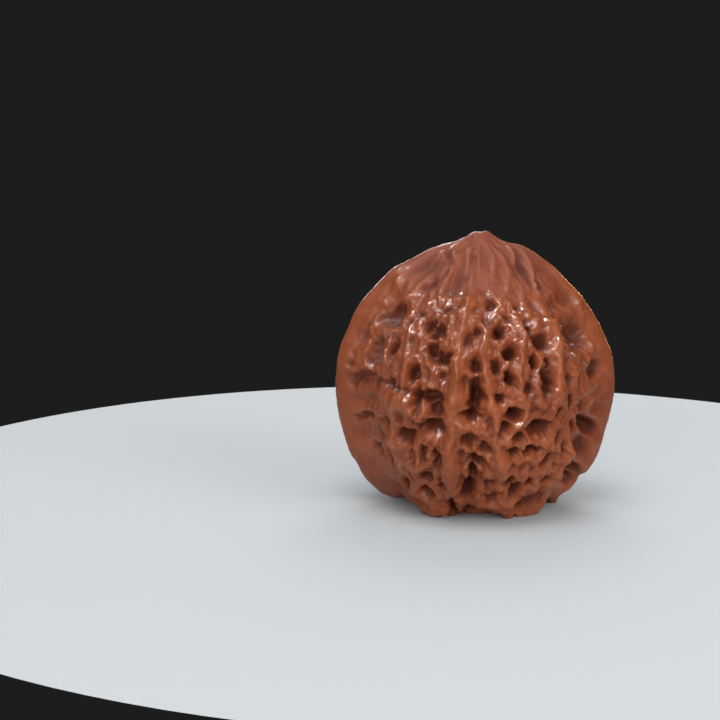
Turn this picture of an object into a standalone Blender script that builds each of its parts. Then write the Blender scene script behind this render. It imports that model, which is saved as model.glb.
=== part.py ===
"""A whole walnut in its polished shell, standing upright on its base with the beak up.

The shell is one piece. A round form gives the distance of the surface from the nut's middle in
every direction, and the relief is laid on that form: ribs that run from the beak to the base,
knobs between them, and the pits that they leave. The rim, where the halves have grown together,
stands out left and right.

A direction is told by two angles. The turn goes round the nut from the middle of its front face
(-Y) and grows towards +X, so the rim lies at 90 and at -90. The fall goes from 0 at the beak to
180 at the middle of the base. Units are metres, +Z is up, and the origin lies on the ground
under the middle of the nut.
"""

import math
import random

import bmesh
import bpy
import numpy as np
from mathutils import Vector, noise

MM = 0.001

# Driving sizes
MIDDLE_HEIGHT_MM = 18.7
SHELL_TRIANGLES = 11500
SPHERE_STEPS = 7
SMOOTH_STEPS = 2
SEED = 11
WARP_SEED = 1795842334

# Finish
SHELL_COLOUR = (0.19, 0.05, 0.021, 1.0)
SHELL_ROUGHNESS = 0.35

# Round form: distance from the middle at each fall, for the two rims and for the belly
FALLS = (0, 3, 6, 10, 18, 28, 40, 55, 70, 90, 110, 125, 138, 148, 156, 165, 180)
RIM_RIGHT_MM = (22.6, 22.9, 22.3, 21.6, 21.7, 21.0, 20.4, 20.2, 20.5, 21.0, 21.1, 22.1, 22.4, 22.4, 20.4,
                19.1, 17.6)
RIM_LEFT_MM = (22.6, 22.5, 22.0, 21.5, 21.6, 21.4, 21.3, 21.1, 21.1, 21.3, 21.6, 22.2, 22.7, 22.3, 20.4,
               19.1, 17.6)
BELLY_MM = (22.5, 22.4, 21.6, 20.5, 19.0, 17.9, 17.5, 17.9, 18.3, 18.6, 19.1, 19.6, 20.1, 20.75, 20.35,
            19.0, 17.6)

# Rim section
RIM_ROOT = 0.79
RIM_DROP = 0.25
RIM_EDGE_DEG = 3.0
RIM_FALLOFF_DEG = 12.0
ROUNDING_MM = 1.0

# Direction in which the relief is raised: less sideways than the surface faces, and a little down
SIDEWAYS = 0.75
DROOP = 0.28

# Relief as a whole
PIT_DEPTH = 1.35
PIT_SIZE = 0.84
KNOB_RISE = 1.0
RIB_RISE = 1.3
SHOULDER_MM = 0.45
FOLD_MM = 0.5
FOLD_RISE = 1.1
BUMP_MM = 0.55
CREASE_MM = 0.28
CAP_FOLD_MM = 0.4

# Relief marks: turn, fall, width across, height down, depth (below the form) in millimetres, lean
FRONT_PITS = (
    # left flank
    (-66, 52, 5.6, 4.6, 1.7, -20), (-68, 72, 3.8, 5.4, 1.5, 8), (-52, 68, 1.6, 4.4, 1.1, 5),
    (-66, 119, 3.6, 2.6, 1.3, 10), (-55, 122, 1.5, 4.0, 1.3, 10), (-50, 134, 1.5, 3.2, 1.1, 10),
    (-49, 84, 1.6, 2.0, 1.0, 0), (-50, 100, 1.2, 2.6, 0.7, 0), (-48, 54, 1.8, 1.6, 0.7, 0),
    # left of the belly
    (-33, 55, 2.0, 2.6, 1.5, 0), (-25, 57, 2.0, 2.6, 1.7, 0), (-26, 66, 1.7, 2.2, 1.8, 0),
    (-25, 46, 1.5, 1.4, 0.8, 0), (-21, 70, 3.6, 2.2, 2.1, 0), (-35, 78, 2.0, 2.6, 1.7, 0),
    (-19, 78, 1.3, 1.1, 0.9, 0), (-24, 87, 4.9, 1.5, 2.1, 0), (-31, 88, 1.3, 3.6, 2.2, 0),
    (-40, 86, 4.6, 1.3, 1.2, 0), (-21, 93, 2.1, 2.8, 1.6, 0), (-39, 106, 2.7, 2.2, 2.1, 0),
    (-24, 100, 4.2, 1.6, 2.4, 0), (-29, 113, 1.0, 3.4, 1.0, 0), (-22, 114, 1.1, 3.8, 1.0, 0),
    (-35, 115, 1.1, 3.0, 0.9, 0), (-31, 125, 1.9, 1.7, 1.8, 0), (-33, 134, 2.0, 1.9, 1.7, 0),
    (-43, 142, 3.4, 2.0, 1.0, 0), (-22, 128, 1.2, 2.4, 0.9, 0), (-43, 97, 1.1, 2.2, 0.8, 0),
    (-43, 49, 2.0, 1.5, 0.6, 0), (-41, 64, 1.3, 2.2, 0.9, 0), (-43, 126, 1.3, 3.0, 0.9, 0),
    # middle of the belly
    (-3, 57, 1.5, 1.5, 0.9, 0), (-8, 61, 1.2, 2.8, 0.8, 0), (-4, 73, 1.5, 2.5, 1.8, 0),
    (-9, 81, 1.2, 2.0, 1.1, 0), (-4, 86, 1.8, 4.6, 2.7, 0), (-6, 94, 3.0, 1.1, 2.3, 0),
    (-7, 105, 2.4, 1.8, 1.1, 0), (1, 108, 1.8, 1.8, 1.4, 0), (-2, 115, 2.4, 1.6, 2.7, 0),
    (-4, 123, 1.7, 3.2, 2.1, 0), (-8, 132, 2.1, 3.0, 2.1, 0), (3, 127, 1.3, 3.0, 1.0, 0),
    (5, 42, 1.2, 2.2, 1.0, 0), (9, 57, 1.9, 2.6, 1.9, 25), (12, 67, 2.1, 2.2, 2.1, 25),
    (5, 74, 1.0, 2.4, 1.4, 0), (11, 79, 1.8, 2.0, 2.2, 0), (7, 87, 1.2, 1.4, 1.4, 0),
    (14, 93, 2.7, 1.6, 2.9, 0), (10, 99, 1.8, 1.9, 1.5, 0), (3, 96, 1.0, 2.2, 0.8, 0),
    (1, 52, 1.2, 1.6, 0.6, 0), (-12, 51, 1.1, 2.0, 0.5, 0), (14, 50, 1.4, 1.6, 0.7, 0),
    # right of the belly
    (24, 45, 1.1, 1.4, 0.8, 0), (25, 55, 1.2, 2.4, 1.2, 0), (33, 63, 3.4, 2.6, 1.8, 0),
    (25, 72, 1.7, 2.6, 1.7, 0), (31.5, 82, 2.2, 3.9, 2.5, 0), (34, 73, 1.0, 1.7, 2.0, 0),
    (27, 101, 4.2, 1.8, 2.9, 0), (17, 104, 1.8, 1.4, 1.5, 0), (23, 110.5, 2.6, 1.2, 2.4, 0),
    (14, 111, 1.5, 1.2, 2.0, 0), (33, 117, 2.0, 1.3, 1.9, 0), (39, 107, 1.4, 1.4, 1.2, 0),
    (15, 126, 1.4, 2.2, 2.0, 0), (20, 132, 1.4, 3.0, 2.0, 0), (27, 126, 1.2, 2.2, 1.2, 0),
    (37, 141, 5.0, 3.2, 2.2, 0), (8, 136, 1.2, 3.0, 1.1, 0), (39, 128, 1.4, 2.2, 1.0, 0),
    (46, 82, 1.2, 2.0, 1.2, 0), (47, 92, 1.2, 2.2, 1.8, 0), (44, 112, 1.0, 1.4, 1.0, 0),
    (20, 84, 1.0, 2.4, 0.9, 0), (38, 95, 1.6, 1.4, 1.0, 0), (50, 104, 1.6, 2.0, 1.3, 0),
    # right flank
    (68, 62, 6.0, 4.8, 1.9, 12), (75, 81, 4.6, 2.8, 1.4, 0), (62, 95, 3.3, 2.3, 2.1, 0),
    (74, 107, 8.0, 2.0, 2.3, 20), (72, 117, 8.0, 3.6, 1.2, 15), (60, 122, 3.4, 2.8, 1.4, 0),
    (74, 128, 5.0, 1.5, 1.8, 0), (80, 134, 3.6, 1.8, 1.2, 0), (55, 72, 1.3, 3.0, 1.1, 12),
    (53, 59, 1.2, 3.0, 0.8, 10), (55, 84, 1.5, 2.6, 1.0, 0),
    # under the feet
    (-17.5, 146, 0.9, 5.5, 2.4, 0), (-5, 149, 2.4, 3.6, 1.3, 0), (7, 150, 2.6, 3.0, 1.0, 0),
)

# Soft dimples and grooves, told the same way
FRONT_DIMPLES = (
    # both rims
    (-79, 88, 5.6, 2.5, 0.9, 0), (-64, 87, 4.2, 2.4, 1.1, 0), (-72, 96, 9.4, 3.2, 0.7, 0),
    (-72, 104.5, 7.6, 0.9, 0.7, -16), (-77, 111.5, 8.4, 3.2, 0.6, -10), (-84, 42, 3.0, 3.0, 0.4, 0),
    (66, 44, 4.4, 2.0, 0.7, 0), (82, 47, 4.2, 2.2, 0.6, 0), (80, 60, 3.0, 4.4, 0.5, 0),
    (81, 93, 6.4, 3.0, 0.6, 0), (80, 101, 5.6, 2.2, 0.5, 0), (90, 132, 9.0, 1.3, 0.9, 0),
    (-90, 126, 8.0, 1.6, 0.35, 0), (-60, 110, 2.6, 2.6, 0.6, 0), (-84, 62, 2.4, 5.0, 0.35, 0),
    # cap
    (-72, 27, 6.6, 3.4, 0.9, -30), (-38, 20, 1.8, 1.8, 0.6, 0), (-48, 30, 4.8, 0.9, 0.5, 50),
    (52, 25, 1.6, 3.4, 0.5, 0), (76, 29, 3.0, 1.4, 0.5, 20), (40, 24, 1.2, 4.2, 0.45, 0),
    (-22, 24, 1.1, 5.0, 0.35, 0), (-4, 27, 0.8, 4.6, 0.25, 0), (8, 25, 0.7, 4.6, 0.25, 0),
    (66, 34, 2.4, 3.0, 0.5, 0),
)

# Bumps: turn, fall, width across, height down, rise in millimetres, lean
FRONT_KNOBS = (
    # thin ridges round the big pits of the flanks
    (-62, 61, 8.6, 0.8, 0.55, -6), (-66, 44.5, 6.4, 0.8, 0.45, -30), (-64, 70, 0.9, 4.6, 0.5, 5),
    (-82, 70, 1.6, 5.0, 0.35, 8), (-4, 102, 4.6, 0.7, 0.6, 30), (64, 76, 3.0, 0.8, 0.4, 35),
    # lobes of the belly
    (-38, 93, 4.6, 3.8, 0.6, 0), (7, 116, 2.6, 3.2, 0.7, 0), (19, 117, 2.6, 2.4, 0.7, 0),
    (26, 116, 2.4, 2.4, 0.7, 0), (34, 110, 3.4, 2.6, 0.7, 0), (-44, 112, 2.4, 3.0, 0.5, 0),
    (21.5, 107, 2.0, 1.4, 0.6, 0), (-29, 73, 1.8, 1.8, 0.6, 0), (26, 91, 2.6, 2.0, 0.6, 0),
    (-28, 95, 2.2, 2.2, 0.5, 0), (5, 109, 1.8, 1.6, 0.5, 0), (24, 125, 2.2, 2.8, 0.6, 0),
    (42, 121, 2.2, 2.6, 0.6, 0), (-35, 121, 2.0, 3.0, 0.5, 0), (32, 131, 2.2, 3.6, 0.6, 0),
    (-50, 62, 1.6, 1.8, 0.6, 0), (-54, 52, 1.5, 1.8, 0.5, 0), (12, 121, 2.2, 2.4, 0.5, 0),
    # top of the belly
    (-38, 44, 1.2, 1.6, 0.5, 0), (-30, 40, 1.9, 1.2, 0.5, 0), (-20, 39.5, 1.6, 1.0, 0.5, 0),
    (-11, 41, 1.2, 1.2, 0.4, 0), (-1, 41, 1.9, 1.2, 0.5, 0), (10, 41, 1.8, 1.2, 0.5, 0),
    (18, 42, 1.2, 1.0, 0.4, 0), (7, 50, 1.6, 1.0, 0.5, 0), (20, 50, 1.2, 1.4, 0.5, 0),
    (-17, 49, 1.4, 1.4, 0.5, 0), (-31, 50, 1.0, 1.6, 0.4, 0), (34, 49, 1.2, 2.2, 0.4, 0),
    # cap
    (48, 17, 1.7, 3.2, 0.6, 0), (60, 27, 1.4, 3.4, 0.5, 0), (-36, 24, 1.4, 3.6, 0.5, 0),
    (10, 22, 1.0, 3.6, 0.25, 0), (-12, 22, 1.0, 4.0, 0.25, 0),
    # feet and the teeth between them
    (-38, 146, 5.4, 4.6, 1.3, 0), (-27, 149, 3.6, 3.6, 1.2, 0), (-12, 141, 2.0, 3.0, 0.6, 0),
    (1, 142, 2.8, 3.2, 0.5, 0), (11, 142, 2.0, 3.0, 0.5, 0), (22, 148, 2.2, 4.2, 1.4, 0),
    (45, 148.5, 4.0, 4.0, 2.2, 0), (148, 147, 4.0, 4.2, 1.0, 0), (-148, 148, 4.4, 4.2, 1.1, 0),
    (178, 147, 3.0, 3.6, 0.7, 0), (-118, 147, 3.0, 3.6, 0.5, 0),
)

# Ribs: half width and rise in millimetres, then turn and fall along the rib. A rise below 0 is a
# groove.
FRONT_RIBS = (
    (0.95, 0.75, ((-9, 34), (-10, 42), (-12, 57), (-12, 71), (-13, 86), (-14, 101), (-15, 118), (-17, 136))),
    (0.22, -0.25, ((-8, 40), (-9, 57), (-10, 71), (-11, 86), (-12, 101), (-13, 118), (-15, 130))),
    (0.50, 0.35, ((-46, 52), (-43, 60), (-41, 70), (-40, 80), (-42, 92), (-46, 105), (-44, 132))),
    (0.50, 0.50, ((0, 52), (0, 60), (0, 70), (2, 84), (4, 95), (6, 105), (8, 112), (10, 130))),
    (0.45, 0.45, ((23, 54), (18, 65), (16, 76), (17, 84), (18.5, 89), (17.5, 97), (12, 102), (11, 108))),
    (0.45, 0.40, ((28, 66), (28, 74), (25, 80), (24.5, 90))),
    (0.90, 0.75, ((44, 40), (44, 49), (43, 60), (41, 70), (38, 82), (36, 91))),
    (0.35, 0.35, ((-19, 48), (-19, 60), (-20, 66))),
    (0.30, 0.40, ((47, 71), (50, 76), (55, 84), (56, 90))),
    (0.40, 0.35, ((60, 20), (57, 24), (51, 34), (50, 37))),
    (0.40, 0.35, ((-86, 30), (-80, 38), (-76, 45))),
    (0.45, -0.60, ((70, 10), (35, 16), (28, 22), (25, 30))),
    (0.40, -0.35, ((-22, 8), (-22, 20), (-34, 31))),
    (0.60, -0.80, ((58, 36), (60, 42), (60, 50), (60, 57))),
    (0.50, -0.55, ((-81, 58), (-82, 66), (-82, 76))),
    (0.45, 0.40, ((48, 96), (46, 104), (48, 114), (48, 126), (46, 136))),
)

# Thin folds between the plates of the flanks and the cap: half width and rise in millimetres, then
# turn and fall along the fold. A rise below 0 is a groove.
FRONT_FOLDS = (
    # cap
    (0.40, 0.40, ((-80, 20), (-82, 28), (-79, 35), (-74, 41))),
    (0.35, -0.45, ((-70, 14), (-50, 17), (-37, 22), (-37, 27), (-44, 32), (-52, 36))),
    (0.35, 0.35, ((-60, 12), (-42, 17), (-36, 24))),
    (0.35, 0.35, ((-24, 11), (-20, 19), (-22, 25))),
    (0.30, -0.35, ((-11, 15), (-12, 22), (-15, 28))),
    (0.35, 0.35, ((70, 10), (52, 15), (43, 21))),
    (0.35, -0.40, ((67, 15), (53, 21), (50, 28), (47, 34))),
    (0.35, 0.40, ((78, 15), (67, 21), (60, 27), (53, 33))),
    (0.45, -0.50, ((58, 32), (57, 38), (59, 45), (54, 55))),
    (0.40, 0.45, ((63, 32), (66, 37), (71, 45), (74, 52))),
    # left flank
    (0.35, 0.45, ((-59, 43), (-71, 48), (-76, 54), (-77, 60), (-76, 64))),
    (0.35, 0.50, ((-49, 57), (-60, 62), (-71, 64), (-74, 68), (-75, 74), (-73, 80))),
    (0.35, 0.35, ((-85, 74), (-85, 84))),
    (0.35, 0.40, ((-83, 86), (-79, 84), (-70, 81))),
    (0.35, 0.40, ((-56, 63), (-55, 68), (-55, 75))),
    (0.40, -0.45, ((-78, 59), (-81, 67), (-82, 75), (-82, 82))),
    (0.35, -0.40, ((-81, 92), (-78, 85), (-68, 83), (-55, 85), (-46, 84))),
    (0.35, -0.40, ((-81, 106), (-75, 105), (-64, 104), (-53, 103))),
    (0.40, 0.40, ((-50, 91), (-49, 98), (-50, 106), (-49, 112))),
    # right flank
    (0.35, 0.35, ((85, 39), (86, 45), (84, 50))),
    (0.35, 0.45, ((56, 56), (67, 58), (71, 65), (71, 72), (69, 79))),
    (0.35, 0.45, ((47, 68), (51, 72), (55, 77), (58, 84))),
    (0.35, 0.40, ((84, 51), (81, 58), (79, 65), (78, 72))),
    (0.35, 0.35, ((70, 96), (79, 95), (85, 91))),
    (0.40, 0.50, ((41, 114), (49, 115), (62, 120), (58, 124), (55, 128), (54, 132))),
    # belly
    (0.35, 0.40, ((-19, 55), (-16, 64), (-14, 71), (-12, 80))),
    (0.35, -0.40, ((36, 89), (32, 92), (29, 95))),
)

# The same kind of relief, strewn by rule where the front marks end
STREWN_PITS = 420
STREWN_SPACING = 0.86
BACK_RIBS = (104, 119, 133, 147, 160, 173, 187, 201, 214, 228, 242, 257)


def along(x, xs, ys):
    """Reads a smooth line through the points (xs, ys) at x."""
    xs = np.asarray(xs, float)
    ys = np.asarray(ys, float)
    slope = np.gradient(ys, xs)
    slope[0] = slope[-1] = 0.0
    i = np.clip(np.searchsorted(xs, x) - 1, 0, len(xs) - 2)
    step = xs[i + 1] - xs[i]
    t = np.clip((x - xs[i]) / step, 0.0, 1.0)
    start = (1 + 2 * t) * (1 - t) ** 2 * ys[i] + t * (1 - t) ** 2 * step * slope[i]
    end = t * t * (3 - 2 * t) * ys[i + 1] + t * t * (t - 1) * step * slope[i + 1]
    return start + end


def ramp(x, low, high):
    """Goes from 0 at low to 1 at high without a kink."""
    t = np.clip((x - low) / (high - low), 0.0, 1.0)
    return t * t * (3 - 2 * t)


def reach(turn, fall):
    """Distance in millimetres from the middle to the round form."""
    across = np.sin(np.radians(turn))
    lift = np.degrees(np.arcsin(np.clip(np.abs(np.cos(np.radians(turn))), 0, 1)))
    right = (across + 1) / 2
    rim = along(fall, FALLS, RIM_LEFT_MM) * (1 - right) + along(fall, FALLS, RIM_RIGHT_MM) * right
    belly = along(fall, FALLS, BELLY_MM)
    level = np.sin(np.radians(fall))
    root = RIM_ROOT + (1 - RIM_ROOT) * (1 - level) ** 2
    power = 2.0 + 0.3 * ramp(fall, 60, 130)
    side = np.abs(np.cos(np.radians(lift))) / (rim * root)
    front = np.abs(np.sin(np.radians(lift))) / belly
    body = (side ** power + front ** power) ** (-1 / power)
    falloff = RIM_FALLOFF_DEG / np.maximum(level, 0.25)
    drop = RIM_DROP * np.minimum(1, level * 1.3)
    away = np.hypot(lift, RIM_EDGE_DEG) - RIM_EDGE_DEG
    fin = rim * (1 - drop * (1 - np.exp(-away / falloff)))
    soft = ROUNDING_MM
    at_pole = soft * math.log(2) * (1 - level) ** 2
    return np.logaddexp(body / soft, fin / soft) * soft - at_pole


def mark_field(turn, fall, marks, grow=1.0, sharp=1.4):
    """Joins marks of one kind into one field of heights, each one soft at its edge."""
    total = np.zeros_like(turn)
    width_per_degree = math.radians(20.0)
    for m_turn, m_fall, wide, tall, size, lean in marks:
        du = ((turn - m_turn + 180) % 360 - 180) * width_per_degree * np.sin(np.radians(fall))
        dv = (fall - m_fall) * width_per_degree
        near = np.flatnonzero(du * du + dv * dv < (2.0 * max(wide, tall)) ** 2)
        a = math.radians(lean)
        u = du[near] * math.cos(a) + dv[near] * math.sin(a)
        v = dv[near] * math.cos(a) - du[near] * math.sin(a)
        t = (u / (wide * grow / 2)) ** 2 + (v / (tall * grow / 2)) ** 2
        steep = min(sharp, 1.0 + 1.2 / max(wide, tall))
        total[near] += (size * np.exp(-0.6 * t ** steep)) ** 3
    return np.cbrt(total)


def rib_field(turn, fall, ribs):
    """Height of the ribs, and how fully a rib fills each spot."""
    rise = np.zeros_like(turn)
    fill = np.zeros_like(turn)
    for half, high, path in ribs:
        order = sorted(path, key=lambda spot: spot[1])
        falls = [spot[1] for spot in order]
        turns = [spot[0] for spot in order]
        centre = along(np.clip(fall, falls[0], falls[-1]), falls, turns)
        du = ((turn - centre + 180) % 360 - 180) * math.radians(20.0) * np.sin(np.radians(fall))
        ends = ramp(fall, falls[0] - 3, falls[0] + 5) * (1 - ramp(fall, falls[-1] - 5, falls[-1] + 3))
        shape = np.exp(-0.7 * (du / half) ** 2) * ends
        rise = np.maximum(rise, high * shape) if high > 0 else rise + high * shape
        fill = np.maximum(fill, shape * np.clip(high / 0.5, 0, 1))
    return rise, fill


def fold_field(turn, fall, folds):
    """Height of thin folds that run along paths over the shell."""
    total = np.zeros_like(turn)
    per_degree = math.radians(20.0)
    for half, rise, path in folds:
        near = np.full_like(turn, 9.0)
        for (t0, f0), (t1, f1) in zip(path, path[1:]):
            across = per_degree * math.sin(math.radians((f0 + f1) / 2))
            u = (turn - t0) * across
            v = (fall - f0) * per_degree
            a = (t1 - t0) * across
            b = (f1 - f0) * per_degree
            s = np.clip((u * a + v * b) / (a * a + b * b), 0.0, 1.0)
            near = np.minimum(near, np.hypot(u - s * a, v - s * b))
        total += rise * np.exp(-0.7 * (near / half) ** 2)
    return total


def strewn_marks():
    """Pits and knobs for the back, the sides and the underside, by a seeded rule."""
    rng = random.Random(SEED)
    pits, knobs = [], []
    for _ in range(9000):
        if len(pits) >= STREWN_PITS:
            break
        turn = rng.uniform(-180, 180)
        fall = math.degrees(math.acos(rng.uniform(-0.985, 0.76)))
        from_rim = 90 - abs(90 - abs(turn))
        edge = abs(90 - abs(turn)) * math.sin(math.radians(fall))
        if abs(turn) < 90 and fall < 148:
            continue
        if edge < 16 and fall < 140:
            continue
        deep = rng.choice((0.8, 1.2, 1.5, 1.9, 2.4))
        deep *= 0.55 + 0.45 * min(1.0, (fall - 38) / 40)
        if fall > 150:
            deep = min(deep, 1.2)
        wide = rng.uniform(1.1, 2.4)
        tall = wide * rng.uniform(0.7, 2.0)
        if edge < 26:
            wide, tall, deep = wide * 1.5, tall * 1.3, deep * 0.8
        here = Vector((math.sin(math.radians(fall)) * math.sin(math.radians(turn)),
                       -math.sin(math.radians(fall)) * math.cos(math.radians(turn)),
                       math.cos(math.radians(fall)))) * 20.0
        size = (wide + tall) / 2
        if any((here - there).length < STREWN_SPACING * (size + other) / 2 + 0.55
               for there, other, _ in pits):
            continue
        pits.append((here, size, (turn, fall, wide, tall, deep, rng.uniform(-25, 25))))
        knobs.append((turn + rng.uniform(-6, 6), fall + rng.uniform(4, 8), rng.uniform(1.5, 2.6),
                      rng.uniform(1.4, 2.4), rng.uniform(0.2, 0.6), 0))
    return [mark for _, _, mark in pits], knobs


def back_ribs():
    """Ribs of the back half, each with its own slow bends."""
    rng = random.Random(SEED + 1)
    ribs = []
    for turn in BACK_RIBS:
        sway = [rng.uniform(-2.2, 2.2) for _ in range(7)]
        falls = (40, 55, 70, 85, 100, 118, 136)
        half = rng.uniform(0.4, 0.8)
        ribs.append((half, half * rng.uniform(0.6, 0.95),
                     tuple((turn + bend, fall) for bend, fall in zip(sway, falls))))
    return ribs


def relief(turn, fall, unit):
    """Height of the relief over the round form in millimetres."""
    noise.seed_set(WARP_SEED)
    count = len(turn)
    warp = np.empty((count, 3))
    lump = np.empty(count)
    fine = np.empty(count)
    fold = np.empty(count)
    crease = np.empty(count)
    bump = np.empty(count)
    fan = np.empty(count)
    for i, (x, y, z) in enumerate(unit):
        spot = Vector((x, y, z)) * 20.0
        flat = Vector((spot.x, spot.y, spot.z * 0.75))
        warp[i] = noise.noise_vector(flat * 0.34) * 0.40 + noise.noise_vector(flat * 0.95) * 0.36
        warp[i] += noise.noise_vector(flat * 1.7) * 0.30
        lump[i] = noise.noise(flat * 0.55 + Vector((7.1, 2.3, 5.9))) + 0.5 * noise.noise(flat * 0.24)
        near = noise.voronoi(flat * 0.45 + Vector((1.7, 4.2, 9.4)) + noise.noise_vector(flat * 0.5) * 0.5)[0]
        fine[i] = near[1] - near[0]
        fold[i] = noise.noise(flat * 0.4 + Vector((3.3, 8.1, 1.7)))
        crease[i] = noise.noise(flat * 0.72 + Vector((9.2, 1.3, 4.4)))
        bump[i] = noise.noise(flat * 1.05 + Vector((5.2, 6.6, 2.9)))
        ring = math.hypot(x, y) + 0.02
        fan[i] = noise.noise(Vector((x / ring * 3.6, y / ring * 3.6, z * 5.0)))
    level = np.maximum(np.sin(np.radians(fall)), 0.2)
    per_degree = math.radians(20.0)
    turn = turn + warp[:, 0] / per_degree / level * ramp(fall, 25, 45)
    fall = fall + warp[:, 1] / per_degree * ramp(fall, 25, 45)

    edge = np.abs(90 - np.abs((turn + 180) % 360 - 180)) * level
    arch = 0.006 * ((turn + 95) % 180 - 90) ** 2
    near_rim = np.where((turn < 0) & (turn > -90), 36, 20)
    belly = ramp(edge - near_rim, 0, 18) * ramp(fall - arch, 32, 43) * (1 - ramp(fall, 152, 166))
    strewn_pits, strewn_knobs = strewn_marks()
    sunk = fall - 2.2 * ramp(fall, 72, 108) * (1 - ramp(fall, 132, 156))
    pits = mark_field(turn, sunk, list(FRONT_PITS) + strewn_pits, PIT_SIZE) * PIT_DEPTH
    dimples = mark_field(turn, fall, list(FRONT_DIMPLES), sharp=1.0)
    knobs = mark_field(turn, fall, list(FRONT_KNOBS) + strewn_knobs, sharp=1.0) * KNOB_RISE
    rise, fill = rib_field(turn, fall, list(FRONT_RIBS) + back_ribs())
    low = 0.45 + 0.55 * ramp(fall, 60, 110)
    shoulder = SHOULDER_MM * belly * (1 - ramp(fall - arch, 42, 62))
    sides = np.maximum(ramp(edge, 2, 11), 1 - ramp(fall, 30, 40) * (1 - ramp(fall, 120, 128)))
    height = shoulder - pits * sides * (1 - 0.8 * fill) - dimples * (0.4 + 0.6 * sides)
    height += knobs * sides + rise * RIB_RISE
    height += FOLD_RISE * fold_field(turn, fall, FRONT_FOLDS) * (0.3 + 0.7 * ramp(edge, 1, 6))
    lobes = ramp(fall, 84, 108) * (1 - 0.5 * ramp(fall, 126, 145))
    net = (0.45 * lobes - 0.32 * (1 - lobes)) * (np.sqrt(np.clip(fine, 0, 1)) - 0.6)
    height += belly * low * (lump * 0.6 + net * (1 - fill) * 1.6)

    stripes = np.sin(np.radians((turn + 16 * lump) * 23.0)) * ramp(fall, 5, 12) * (1 - ramp(fall, 24, 36))
    cap = ramp(fall, 4, 12) * (1 - ramp(fall - arch, 30, 46))
    height += 0.04 * stripes + cap * CAP_FOLD_MM * (1 - 3 * np.abs(fan))
    height += BUMP_MM * bump * belly * (1 - 0.7 * fill)
    height += FOLD_MM * fold * (1 - cap) * ramp(edge, 1, 12)
    height -= CREASE_MM * np.exp(-(crease / 0.08) ** 2) * (0.3 + 0.7 * belly) * (1 - cap) * (1 - 0.6 * fill)
    seam = np.exp(-(edge / 0.9) ** 2) * (1 - ramp(fall, 150, 158)) * ramp(fall, 3, 9)
    height -= 0.12 * seam
    return height


def shape_shell(vertices):
    """Moves the points of a ball of radius 1 onto the shell, in metres."""
    unit = np.array([tuple(v.co.normalized()) for v in vertices])
    fall = np.degrees(np.arccos(np.clip(unit[:, 2], -1, 1)))
    turn = np.degrees(np.arctan2(unit[:, 0], -unit[:, 1]))
    form = unit * reach(turn, fall)[:, None]
    return turn, fall, unit, form


def build_shell(name, collection):
    """The shell before its feet are made flat."""
    mesh = bpy.data.meshes.new(name)
    bm = bmesh.new()
    bmesh.ops.create_icosphere(bm, subdivisions=SPHERE_STEPS, radius=1.0)
    turn, fall, unit, form = shape_shell(bm.verts)
    for v, spot in zip(bm.verts, form):
        v.co = spot
    bm.normal_update()
    normal = np.array([tuple(v.normal) for v in bm.verts])
    height = relief(turn, fall, unit)
    droop = DROOP * ramp(fall, 72, 108) * (1 - ramp(fall, 122, 150))
    way = normal * (SIDEWAYS, 1.0, SIDEWAYS)
    way /= np.linalg.norm(way, axis=1)[:, None]
    way[:, 2] -= droop
    spots = form + way * height[:, None]
    spots[:, :2] -= (spots[:, :2].min(axis=0) + spots[:, :2].max(axis=0)) / 2
    spots[:, 2] += MIDDLE_HEIGHT_MM
    for v, spot in zip(bm.verts, spots):
        v.co = Vector(spot) * MM
    bm.to_mesh(mesh)
    bm.free()
    shell = bpy.data.objects.new(name, mesh)
    collection.objects.link(shell)
    return shell


def build_ground(collection):
    """The block that the feet are cut level with."""
    mesh = bpy.data.meshes.new("ground_block")
    bm = bmesh.new()
    bmesh.ops.create_cube(bm, size=80 * MM)
    bmesh.ops.translate(bm, verts=bm.verts, vec=(0, 0, -40 * MM))
    bm.to_mesh(mesh)
    bm.free()
    block = bpy.data.objects.new("ground_block", mesh)
    collection.objects.link(block)
    block.hide_render = True
    block.display_type = "WIRE"
    return block


def shell_material():
    """Polished red-brown walnut shell."""
    material = bpy.data.materials.new("walnut_shell_polished")
    material.use_nodes = True
    surface = material.node_tree.nodes["Principled BSDF"]
    surface.inputs["Base Color"].default_value = SHELL_COLOUR
    surface.inputs["Roughness"].default_value = SHELL_ROUGHNESS
    surface.inputs["Metallic"].default_value = 0.0
    return material


def main():
    """Builds the nut in a collection of its own, with its feet cut level."""
    for old in list(bpy.data.objects):
        bpy.data.objects.remove(old)
    collection = bpy.data.collections.new("walnut")
    cutters = bpy.data.collections.new("cutters")
    bpy.context.scene.collection.children.link(collection)
    bpy.context.scene.collection.children.link(cutters)
    shell = build_shell("walnut_shell", collection)
    shell.data.materials.append(shell_material())
    soft = shell.modifiers.new("soft", "SMOOTH")
    soft.factor = 0.5
    soft.iterations = SMOOTH_STEPS
    slim = shell.modifiers.new("slim", "DECIMATE")
    slim.decimate_type = "COLLAPSE"
    slim.ratio = SHELL_TRIANGLES / len(shell.data.polygons)
    flat = shell.modifiers.new("flat_feet", "BOOLEAN")
    flat.operation = "DIFFERENCE"
    flat.solver = "EXACT"
    flat.object = build_ground(cutters)


main()
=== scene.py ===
"""The walnut's looks: a finer shell than the CAD solid, its polished finish, and a small studio.

The shell is the same form as the solid it stands for, from the same named values, with about
sixteen times as many triangles. Directions on it are told by two angles: the turn goes round the nut from
the middle of its front face and grows to the right, and the fall goes from 0 at the beak to 180
at the middle of the base. Sizes are in millimetres unless a name says otherwise.
"""

import logging
import math
import random
from dataclasses import dataclass
from enum import Enum

import bmesh
import bpy
import numpy as np
from mathutils import Matrix, Vector, noise


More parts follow.
